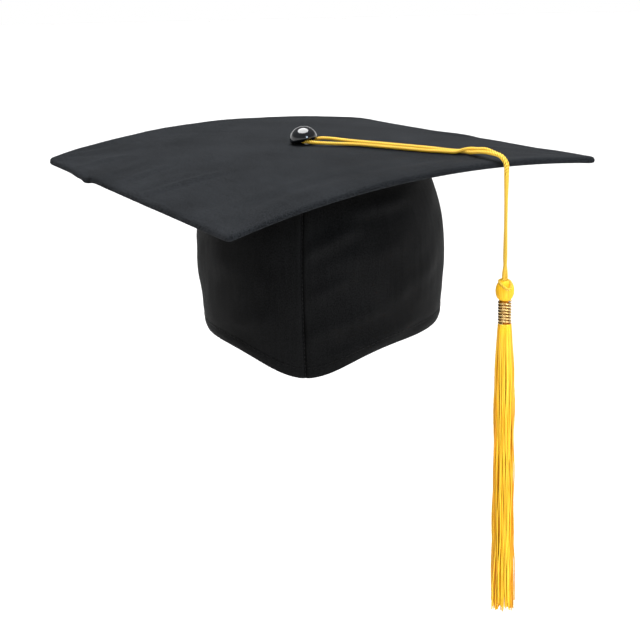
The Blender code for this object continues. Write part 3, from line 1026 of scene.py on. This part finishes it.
def cord_line():
    """The line between the two strands, from the tassel to the button: (along, up) pairs."""
    line = []
    count = 70
    for k in range(count):
        line.append((HANG_S + (0.8 + 0.7 * k / count) * MM, HEAD_Z + (HANG_Z - HEAD_Z) * k / count))
    for k in range(12):
        angle = k / 12 * math.pi / 2
        line.append((BEND_S + BEND_OUT * math.cos(angle), HANG_Z + BEND_R * math.sin(angle)))
    count = 110
    for k in range(count + 1):
        s = BEND_S * (1 - k / count)
        inside = min(s, EDGE_S)
        line.append((s, board_height(RAY_U * inside, RAY_V * inside) + LIE))
    return line


LINE = cord_line()
TRAVEL = [0.0]
for (s0, z0), (s1, z1) in zip(LINE, LINE[1:]):
    TRAVEL.append(TRAVEL[-1] + math.hypot(s1 - s0, z1 - z0))
JOIN_AT = JOIN_Z - HEAD_Z
EDGE_AT = HANG_Z - HEAD_Z
LIE_AT = EDGE_AT + (BEND_R + BEND_OUT) * math.pi / 4
END_AT = TRAVEL[-1]
print("line from tassel to button:", round(END_AT, 4), "m, of which on the board", round(END_AT - LIE_AT, 4))


# %% Strands
def line_point(at):
    """(along, up, forward along, forward up) on the middle line at a distance."""
    low, high = 0, len(TRAVEL) - 1
    while high - low > 1:
        middle = (low + high) // 2
        if TRAVEL[middle] <= at:
            low = middle
        else:
            high = middle
    share = (at - TRAVEL[low]) / (TRAVEL[high] - TRAVEL[low])
    (s0, z0), (s1, z1) = LINE[low], LINE[high]
    size = math.hypot(s1 - s0, z1 - z0)
    return s0 + (s1 - s0) * share, z0 + (z1 - z0) * share, (s1 - s0) / size, (z1 - z0) / size


LOW_STRAND = 0.5 * MM
HIGH_STRAND = 1.7 * MM


def rise_at_rivet(to_button, side):
    """The two strands leave the rivet at different heights, one above the other."""
    near = 1 - smooth_step(to_button, 10 * MM, 38 * MM)
    if side > 0:
        return LOW_STRAND * near
    return (HIGH_STRAND + 0.9 * MM * smooth_step(to_button, 4 * MM, 10 * MM)) * near


def strand_point(at, side):
    """The middle of one strand, side 1 or -1, at a distance from the tassel."""
    s, z, ahead_s, ahead_z = line_point(at)
    lying = smooth_step(at, EDGE_AT, LIE_AT)
    to_button = END_AT - at
    hanging = 1 - smooth_step(at, EDGE_AT - 26 * MM, EDGE_AT - 2 * MM)
    at_knot = 1 - smooth_step(at, 4 * MM, 15 * MM)
    hanging_turn = (-(34 + 9 * math.sin(at / (9 * MM))) + 60 * at_knot) * DEG * hanging
    crossing = math.pi * smooth_step(at, LIE_AT + 13 * MM, LIE_AT + 29 * MM)
    turn = hanging_turn + crossing
    apart = (1.0 + 0.3 * bump(at, LIE_AT + 12 * MM, 6 * MM)) * MM
    apart += 0.9 * MM * smooth_step(at, LIE_AT + 30 * MM, LIE_AT + 48 * MM)
    apart += (TURN_R - apart) * (1 - smooth_step(to_button, 0, 45 * MM))
    lift = abs(math.sin(crossing)) * 0.7 * MM + 3.2 * MM * bump(at, LIE_AT + 6 * MM, 11 * MM)
    if side > 0:
        lift += 1.2 * MM * bump(at, LIE_AT + 10 * MM, 5 * MM)
    across = -side * apart * (1 if crossing > 1 else -1)
    lift = (lift + rise_below_cord(s, across) + rise_at_rivet(to_button, side)) * lying
    out = ACROSS * math.cos(turn) + (ALONG * -ahead_z + UP * ahead_s) * -math.sin(turn)
    return BOARD_CENTRE + ALONG * s + UP * (z + lift) + out * apart * side


def strand_line(side, start, end, step):
    """Points of one strand between two distances."""
    count = max(2, round(abs(end - start) / step))
    return [strand_point(start + (end - start) * k / count, side) for k in range(count + 1)]


def smoothed(points, rounds):
    """Evens out small kinks, with the ends held."""
    for _ in range(rounds):
        points = (
            [points[0]]
            + [(a + b * 2 + c) / 4 for a, b, c in zip(points, points[1:], points[2:])]
            + [points[-1]]
        )
    return points


def evenly(points, step):
    """The same line with points at an even distance."""
    travelled = travelled_along(points)
    count = max(2, round(travelled[-1] / step))
    found, index = [], 0
    for k in range(count + 1):
        at = travelled[-1] * k / count
        while index < len(points) - 2 and travelled[index + 1] < at:
            index += 1
        size = travelled[index + 1] - travelled[index]
        found.append(points[index].lerp(points[index + 1], (at - travelled[index]) / size))
    return found


def turn_round_rivet():
    """The half circle behind the rivet that joins the two strands."""
    points = []
    for k in range(1, 12):
        angle = k / 12 * math.pi
        rise = HIGH_STRAND + (LOW_STRAND - HIGH_STRAND) * k / 12
        points.append(
            BOARD_CENTRE + ALONG * (-TURN_R * math.sin(angle)) + ACROSS * (TURN_R * math.cos(angle))
            + UP * (LIE + rise)
        )
    return points


SIDE_AT_BUTTON = 1 if (strand_point(END_AT, 1) - BOARD_CENTRE).dot(ACROSS) > 0 else -1
LOOP_LINE = strand_line(SIDE_AT_BUTTON, JOIN_AT, END_AT, 0.6 * MM)
LOOP_LINE += turn_round_rivet()
LOOP_LINE += strand_line(-SIDE_AT_BUTTON, END_AT, JOIN_AT, 0.6 * MM)
LOOP_LINE = evenly(smoothed(LOOP_LINE, 6), POINT_STEP)


# %% Plies
def carried_frames(points):
    """Two directions square to the line at each point, carried along without twisting."""
    ways = [(b - a).normalized() for a, b in zip(points, points[1:])]
    ways.append(ways[-1])
    side = ways[0].orthogonal().normalized()
    frames = []
    for way in ways:
        side = (side - way * side.dot(way)).normalized()
        frames.append((side, way.cross(side)))
    return frames


def tubes(name, lines, radius, sides):
    """Round tubes along lines of points, closed at their ends. Gives the mesh and each vertex's point."""
    curve = bpy.data.curves.new(name, "CURVE")
    curve.dimensions = "3D"
    curve.bevel_depth = radius
    curve.bevel_resolution = sides
    for points in lines:
        spline = curve.splines.new("POLY")
        spline.points.add(len(points) - 1)
        spline.use_smooth = True
        for k, point in enumerate(points):
            spline.points[k].co = (*point, 1)
    mesh = to_mesh(new_object(name, curve))
    ring = len(mesh.vertices) // sum(len(points) for points in lines)
    bm = bmesh.new()
    bm.from_mesh(mesh)
    bmesh.ops.holes_fill(bm, edges=[e for e in bm.edges if e.is_boundary], sides=0)
    for face in bm.faces:
        face.smooth = True
    bm.to_mesh(mesh)
    bm.free()
    return mesh, [index // ring for index in range(len(mesh.vertices))]


PLIES = 3


def plied(name, lines, strand_r, pitch):
    """A mesh of plies wound round each line. An attribute, high on the ply tops and low in the grooves, is
    used to paint shade into the grooves and a highlight on the tops.
    """
    wound, middles = [], []
    for points in lines:
        frames = carried_frames(points)
        step = (points[1] - points[0]).length
        for ply in range(PLIES):
            turns = [TURN * (ply / PLIES + k * step / pitch) for k in range(len(points))]
            wound.append([
                point + (first * math.cos(turn) + second * math.sin(turn)) * strand_r * 0.55
                for point, (first, second), turn in zip(points, frames, turns)
            ])
            middles += points
    mesh, owners = tubes(name, wound, strand_r * 0.46, 2)
    painted_ply_shading = mesh.attributes.new("painted_ply_shading", "FLOAT", "POINT")
    for vert, owner in zip(mesh.vertices, owners):
        away = (vert.co - middles[owner]).length / strand_r
        painted_ply_shading.data[vert.index].value = max(0.0, min(1.0, (away - 0.72) / 0.30))
    return mesh


CORD_GOLD = new_material("gold cord")
fibre = CORD_GOLD.noise(CORD_GOLD.place(), 2200, detail=3)
uneven = CORD_GOLD.maths("MULTIPLY", CORD_GOLD.maths("SUBTRACT", fibre, 0.5), 0.5)
ply_shading_node = CORD_GOLD.add("Attribute")
ply_shading_node.attribute_name = "painted_ply_shading"
ply_shading_and_fibre = CORD_GOLD.maths("ADD", ply_shading_node.outputs["Fac"], uneven)
# Painted shade and highlight: the ramp darkens the grooves between plies and paints a pale highlight where
# the ply tops stand highest.
GROOVE_SHADE, SIDE_HALF_SHADE = (0.22, 0.055, 0.002), (0.70, 0.32, 0.008)
CREST, CREST_HIGHLIGHT = (0.92, 0.62, 0.04), (1.0, 0.78, 0.14)
CORD_GOLD.shade({
    "Base Color": CORD_GOLD.ramp(ply_shading_and_fibre, (0.2, GROOVE_SHADE), (0.5, SIDE_HALF_SHADE), (0.8, CREST), (1.0, CREST_HIGHLIGHT)),
    "Normal": CORD_GOLD.relief(fibre, 0.4, 0.05 * MM),
    "Roughness": 0.45,
    "Specular IOR Level": 0.35,
})
CORD_LOOP = finish_piece(
    "cord_over_board", plied("cord_over_board", [LOOP_LINE], STRAND_R, STRAND_PITCH),
    CORD_GOLD.owner, None, ["cord_loop", "cord_bend"],
)
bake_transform(CORD_LOOP)
print("cord over the board:", len(CORD_LOOP.data.polygons), "faces")

# %% Hanging pair
HANG_LINES = [evenly(strand_line(side, 0, JOIN_AT, 0.6 * MM), POINT_STEP) for side in (1, -1)]
CORD_HANG = finish_piece(
    "cord_hanging", plied("cord_hanging", HANG_LINES, STRAND_R, STRAND_PITCH),
    CORD_GOLD.owner, None, ["cord_drop"],
)
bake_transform(CORD_HANG)

# %% [markdown]
# ## The tassel
# A tassel is a hank of thread folded over the cord and bound below the fold. The folded part makes
# a small bulb in two lobes with the cord's own loop across it, the binding is a coil of brass wire,
# and below it the threads hang free and spread. The threads are modelled one by one as thin curves
# in four layers over a solid core, each with its own tone, length and waver, because a painted
# cylinder never looks like thread. Inner layers and the core are painted darker, as shade inside
# the bundle.

# %% Thread finish
THREAD = new_material("gold thread")
tone_and_shade_node = THREAD.add("Attribute")
tone_and_shade_node.attribute_name = "tone"
streak = THREAD.noise(THREAD.place(), 900, detail=3, stretch=(1, 1, 0.09))
# Painted shade: the tone attribute is darker on inner threads and on the core, as shade inside the bundle.
tone_shade_and_streak = THREAD.maths(
    "ADD", THREAD.maths("MULTIPLY", tone_and_shade_node.outputs["Fac"], 0.6), THREAD.maths("MULTIPLY", streak, 0.4)
)
THREAD.shade({
    "Base Color": THREAD.ramp(
        tone_shade_and_streak,
        (0.12, (0.62, 0.16, 0.003)), (0.38, (0.82, 0.34, 0.006)),
        (0.6, (0.92, 0.53, 0.012)), (0.85, (0.98, 0.66, 0.04)),
    ),
    "Normal": THREAD.relief(streak, 0.3, 0.08 * MM),
    "Roughness": 0.4,
    "Specular IOR Level": 0.3,
})


def thread_mesh(name, threads, radius, sides=1):
    """One mesh of many threads. Each is (points, tone), and the tone, which also carries painted shade, is
    kept as an attribute.
    """
    mesh, owners = tubes(name, [points for points, _ in threads], radius, sides)
    tone_and_shade_of = [tone for points, tone in threads for _ in points]
    tones_and_shade = mesh.attributes.new("tone", "FLOAT", "POINT")
    for index, owner in enumerate(owners):
        tones_and_shade.data[index].value = tone_and_shade_of[owner]
    return mesh


# %% Head of the tassel
HEAD_TOP = 5.1 * MM
HEAD_LOW = -5.3 * MM
COIL_TOP = HEAD_LOW - 0.2 * MM
COIL_LOW = -20.2 * MM


def head_threads():
    """Threads folded over the cord, down the outside of two lobes and in to the neck."""
    threads = []
    for layer, count in ((0, 64), (1, 40)):
        for k in range(count):
            angle = TURN * (k + 0.5 * layer) / count
            lobe = 1 + 0.10 * math.cos(2 * (angle - 0.35)) - 0.10 * abs(math.sin(angle - 0.35)) ** 8
            points = []
            for step in range(15):
                t = step / 14
                swing = math.sin((0.04 + 0.90 * t) * math.pi)
                r = (4.75 * MM - 0.35 * MM * layer) * lobe * swing ** 0.7
                r = max(r, (3.0 * MM - 0.3 * MM * layer) * smooth_step(t, 0.6, 0.95))
                z = HEAD_TOP + (HEAD_LOW - 0.6 * MM - HEAD_TOP) * (1 - math.cos(t * math.pi)) / 2
                twist = angle + 0.35 * t
                points.append(HEAD_PIVOT + Vector((r * math.cos(twist), r * math.sin(twist), z)))
            threads.append((points, 0.45 + 0.4 * random.random()))
    return threads


finish_piece(
    "tassel_knot", thread_mesh("tassel_knot", head_threads(), 0.27 * MM),
    THREAD.owner, "tassel", ["tassel_head"],
)

# Places that the wrap passes, in millimetres from the middle of the head.
WRAP_STOPS = (
    (-1.0, 2.6, 5.2), (-3.0, 0.8, 5.6), (-3.3, -1.7, 4.9), (-2.3, -3.6, 3.9),
    (-0.4, -5.0, 2.3), (1.2, -5.2, 0.9), (2.2, -4.95, 0.6), (3.2, -4.3, 1.6),
    (3.7, -3.1, 3.3), (3.2, -1.3, 4.9), (1.8, 0.9, 5.6), (0.4, 2.6, 5.2),
)


def wrap_line():
    """The cord's own loop: in from behind, down across the front in a V, and up again."""
    stops = [HEAD_PIVOT + Vector(stop) * MM for stop in WRAP_STOPS]
    return smoothed(evenly(smoothed(evenly(stops, 0.6 * MM), 5), 0.3 * MM), 5)


finish_piece(
    "tassel_wrap", plied("tassel_wrap", [evenly(wrap_line(), POINT_STEP)], 0.85 * MM, 3.4 * MM),
    CORD_GOLD.owner, "tassel",
)
print("tassel head made")

# %% Brass coil
BRASS = new_material("brass wire")
tarnish = BRASS.noise(BRASS.place(), 420, detail=5)
BRASS.shade({
    "Base Color": BRASS.ramp(
        tarnish, (0.3, (0.42, 0.24, 0.07)), (0.6, (0.80, 0.57, 0.24)), (0.8, (0.92, 0.74, 0.42))
    ),
    "Roughness": BRASS.ramp(tarnish, (0.35, grey(0.34)), (0.7, grey(0.16))),
    "Normal": BRASS.relief(tarnish, 0.12, 0.05 * MM),
    "Metallic": 1,
})
COIL_TURNS = 7.7
COIL_R = 3.15 * MM
COIL_END_IN = 0.8 * MM
WIRE_R = 0.75 * MM


def coil_line(turns, radius, per_turn=40):
    """The brass wire's middle line."""
    count = round(turns * per_turn)
    return [
        HEAD_PIVOT + Vector((
            radius * math.cos(TURN * k / per_turn),
            radius * math.sin(TURN * k / per_turn),
            COIL_TOP - COIL_END_IN + (COIL_LOW - COIL_TOP + 2 * COIL_END_IN) * k / count,
        ))
        for k in range(count + 1)
    ]


coil_mesh = tubes("tassel_coil", [coil_line(COIL_TURNS, COIL_R)], WIRE_R, 3)[0]
finish_piece("tassel_coil", coil_mesh, BRASS.owner, "tassel", ["tassel_ferrule"])
print("coil:", len(coil_mesh.polygons), "faces")

# %% Skirt of threads
SKIRT_TOP = COIL_LOW - 0.1 * MM
SKIRT_L = 170.5 * MM
ROOT = 0.8 * MM
SKIRT_LAYERS = ((1.0, 50), (0.9, 50), (0.78, 48), (0.6, 40))


def skirt_radius(down):
    """Radius of the bundle at a share of its length."""
    return (3.9 + 1.5 * min(1.0, down / 0.16) ** 0.75 + 1.2 * down ** 1.4) * MM


def skirt_threads():
    """Threads that leave the coil close together, spread, and waver a little on the way down."""
    threads = []
    for share, count in SKIRT_LAYERS:
        for k in range(count):
            angle = TURN * (k + random.random() * 0.7) / count
            seed = random.random() * 90
            length = SKIRT_L * (1 + random.uniform(-0.022, 0.018))
            clump = noise.noise(Vector((math.cos(angle) * 1.6, math.sin(angle) * 1.6, 3.0)))
            # Painted shade: inner layers are darker, as shade inside the bundle; clump and chance vary the
            # tone.
            tone = 0.62 + 0.45 * clump + random.uniform(-0.28, 0.28) - 1.1 * (1 - share)
            points = []
            for step in range(27):
                down = step / 26
                waver = noise.noise(Vector((seed, down * 5.0, 0))) * 2.6 * MM * smooth_step(down, 0, 0.25)
                lean = noise.noise(Vector((seed, 50, down * 4.0))) * 0.26 * smooth_step(down, 0, 0.3)
                bunch = math.sin(7 * angle + 1.5 + 1.5 * noise.noise(Vector((2 * angle, down * 2, 7))))
                r = skirt_radius(down) * share * (1 - 0.07 * down * bunch) + waver * 0.5 - 0.3 * MM
                drift = angle + lean + 0.11 * down * math.cos(7 * angle + 1.5)
                z = SKIRT_TOP + ROOT - (length + ROOT) * down
                points.append(HEAD_PIVOT + Vector((r * math.cos(drift), r * math.sin(drift), z)))
            threads.append((points, max(0.0, min(1.0, tone))))
    return threads


finish_piece(
    "tassel_threads", thread_mesh("tassel_threads", skirt_threads(), 0.3 * MM),
    THREAD.owner, "tassel", ["tassel_skirt"],
)
CORE = [(0, HEAD_LOW + 0.5 * MM), (2.2 * MM, HEAD_LOW + 0.5 * MM), (2.2 * MM, COIL_LOW)]
for step in range(1, 25):
    CORE.append((skirt_radius(step / 25) * 0.58, SKIRT_TOP - SKIRT_L * 0.97 * step / 25))
CORE.append((0, SKIRT_TOP - SKIRT_L * 0.96))
core_mesh = turned_piece("tassel_core", CORE, 28, HEAD_PIVOT)
# Painted shade: the core takes the darkest thread tone, as shade deep in the bundle.
core_shade_tones = core_mesh.attributes.new("tone", "FLOAT", "POINT")
for item in core_shade_tones.data:
    item.value = 0.05
finish_piece("tassel_core", core_mesh, THREAD.owner, "tassel")

# %% [markdown]
# ## Pieces kept from the frame
# The stiff board inside the cover, the rivet and its washer have the right shape already, so they
# stay as they are and only get a finish. The board is brown pressed card with a fibrous face, and
# the rivet and washer are plain brushed steel.

# %% Kept nodes
CARD = new_material("pressed card")
pulp = CARD.noise(CARD.place(), 900, detail=6)
CARD.shade({
    "Base Color": CARD.ramp(pulp, (0.3, (0.22, 0.18, 0.13)), (0.7, (0.38, 0.33, 0.26))),
    "Normal": CARD.relief(pulp, 0.3, 0.1 * MM),
    "Roughness": 0.85,
})
STEEL = new_material("brushed steel")
brush = STEEL.noise(STEEL.place(), 700, detail=4, stretch=(1, 12, 1))
STEEL.shade({
    "Base Color": STEEL.ramp(brush, (0.3, grey(0.35)), (0.7, grey(0.62))),
    "Roughness": STEEL.ramp(brush, (0.3, grey(0.28)), (0.7, grey(0.5))),
    "Metallic": 1,
})
for node, finish in (("board_core", CARD), ("button_shank", STEEL), ("button_washer", STEEL)):
    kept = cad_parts[node]
    kept.data.materials.clear()
    kept.data.materials.append(finish.owner)
print("kept from the frame: board_core, button_shank, button_washer")

# %% [markdown]

# %% [markdown]
# ## Floor and light
# The cap floats over a pale floor that is well below it, as when a head holds it. The light is one
# large soft source above, which greys the top of the board, with a weak fill from low on the right
# so that the folds of the crown can be read. A tall window-shaped source gives the button its
# bright patch. The world is white low down and grey above, so that the cloth stays dark.

# %% Stage
FLOOR_Z = -0.55
floor_bm = bmesh.new()
bmesh.ops.create_grid(floor_bm, x_segments=1, y_segments=1, size=40)
bmesh.ops.translate(floor_bm, verts=floor_bm.verts, vec=(0, 0, FLOOR_Z))
floor = new_object("floor", mesh_of(floor_bm, "floor", smooth=False))
PALE = new_material("pale floor")
PALE.shade({"Base Color": (0.50, 0.50, 0.50, 1), "Roughness": 0.9, "Specular IOR Level": 0.1})
floor.data.materials.append(PALE.owner)
floor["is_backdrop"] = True

world = bpy.data.worlds.new("studio")
STUDIO = Nodes(world)
way_up = STUDIO.add("SeparateXYZ", Vector=STUDIO.add("TexCoord").outputs["Generated"]).outputs["Z"]
WHITE, DIM = grey(1.0), grey(0.22)
STUDIO.feed(world.node_tree.nodes["Background"], {
    "Color": STUDIO.ramp(way_up, (0.0, WHITE), (0.2, WHITE), (0.34, DIM), (1.0, DIM)),
    "Strength": 1.0,
})
bpy.context.scene.world = world
bpy.context.scene.view_settings.view_transform = "Standard"


def aimed(name, light, place, aim):
    """Adds a light that points at a place."""
    obj = new_object(name, light)
    obj.location = place
    obj.rotation_mode = "QUATERNION"
    obj.rotation_quaternion = (Vector(aim) - Vector(place)).to_track_quat("-Z", "Y")
    return obj


def panel_light(name, place, aim, width, height, power):
    """A soft panel."""
    light = bpy.data.lights.new(name, "AREA")
    light.shape = "RECTANGLE"
    light.size = width
    light.size_y = height
    light.energy = power
    return aimed(name, light, place, aim)


sky = bpy.data.lights.new("overhead", "SUN")
sky.energy = 7.2
sky.angle = 60 * DEG
aimed("overhead", sky, (-0.1, 0.1, 1.5), (0, 0, 0))
panel_light("side_panel", (1.1, -1.0, -0.3), (0.03, -0.04, 0.03), 0.3, 0.5, 8.0)
window = panel_light("window", (0.56, -0.75, 0.5), (-0.01, 0, 0.11), 0.24, 0.3, 2.4)
window.data.color = (0.72, 0.85, 1.0)
print("floor at", FLOOR_Z, "m")

# %% [markdown]
# ## Size
# The box of the finished cap is printed as its difference from the frame's box on each side; cloth
# stands a little proud of the frame.

# %% Size
low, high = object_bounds()
for side, new, old in (("low", low, CAD_BOX[0]), ("high", high, CAD_BOX[1])):
    print("visual minus frame,", side, "side, mm:", [round((a - b) / MM, 1) for a, b in zip(new, old)])
